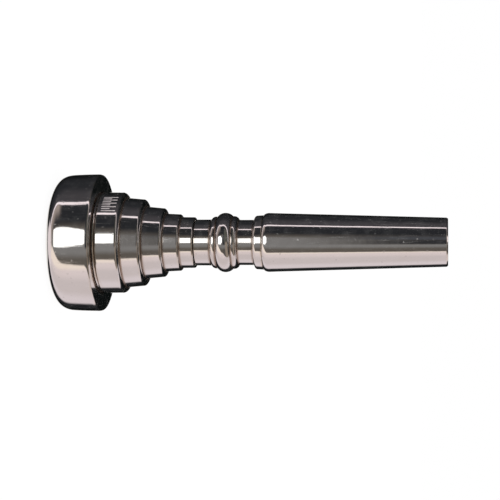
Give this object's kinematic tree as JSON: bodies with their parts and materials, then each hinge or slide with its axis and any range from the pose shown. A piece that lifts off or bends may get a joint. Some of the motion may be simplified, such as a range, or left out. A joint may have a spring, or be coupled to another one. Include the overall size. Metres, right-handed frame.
{
  "type": "trumpet mouthpiece",
  "caption": "Modular trumpet mouthpiece: screw rim, stepped cup, beaded screw backbore and tapered slip-on shank sleeve.",
  "frame": {"origin": "middle of the plane that the rim's crest lies in, which is the surface that the mouthpiece stands on", "axes": "+Z along the bore, from the player's end to the shank tip; X and Y are equivalent"},
  "size_m": [0.0278, 0.0278, 0.079],
  "materials": {
    "silver_plate": "silver-plated brass, mirror polished, lightly used",
    "rubber": "dark brown elastomer, satin"
  },
  "bodies": {
    "cup": {"cup": "silver_plate"},
    "rim_o_ring": {"rim_o_ring": "rubber"},
    "rim": {"rim": "silver_plate"},
    "backbore_o_ring": {"backbore_o_ring": "rubber"},
    "backbore": {"backbore": "silver_plate"},
    "shank_sleeve": {"shank_sleeve": "silver_plate"}
  },
  "joints": [
    {"name": "rim_travel", "type": "slide", "parent": "cup", "child": "rim_o_ring", "axis": [0, 0, -1], "range_m": [0, 0.00376]},
    {"name": "rim_screw", "type": "hinge", "parent": "rim_o_ring", "child": "rim", "pos_m": [0, 0, 0], "axis": [0, 0, -1], "range_deg": [0, 1800]},
    {"name": "backbore_travel", "type": "slide", "parent": "cup", "child": "backbore_o_ring", "axis": [0, 0, 1], "range_m": [0, 0.00414]},
    {"name": "backbore_screw", "type": "hinge", "parent": "backbore_o_ring", "child": "backbore", "pos_m": [0, 0, 0.02844], "axis": [0, 0, 1], "range_deg": [0, 1980]},
    {"name": "sleeve_slide", "type": "slide", "parent": "backbore", "child": "shank_sleeve", "axis": [0, 0, 1], "range_m": [0, 0.0364]}
  ],
  "couplings": [
    {"joint": "rim_travel", "follows": "rim_screw", "m_per_rad": 0.00011937},
    {"joint": "backbore_travel", "follows": "backbore_screw", "m_per_rad": 0.00011937}
  ]
}
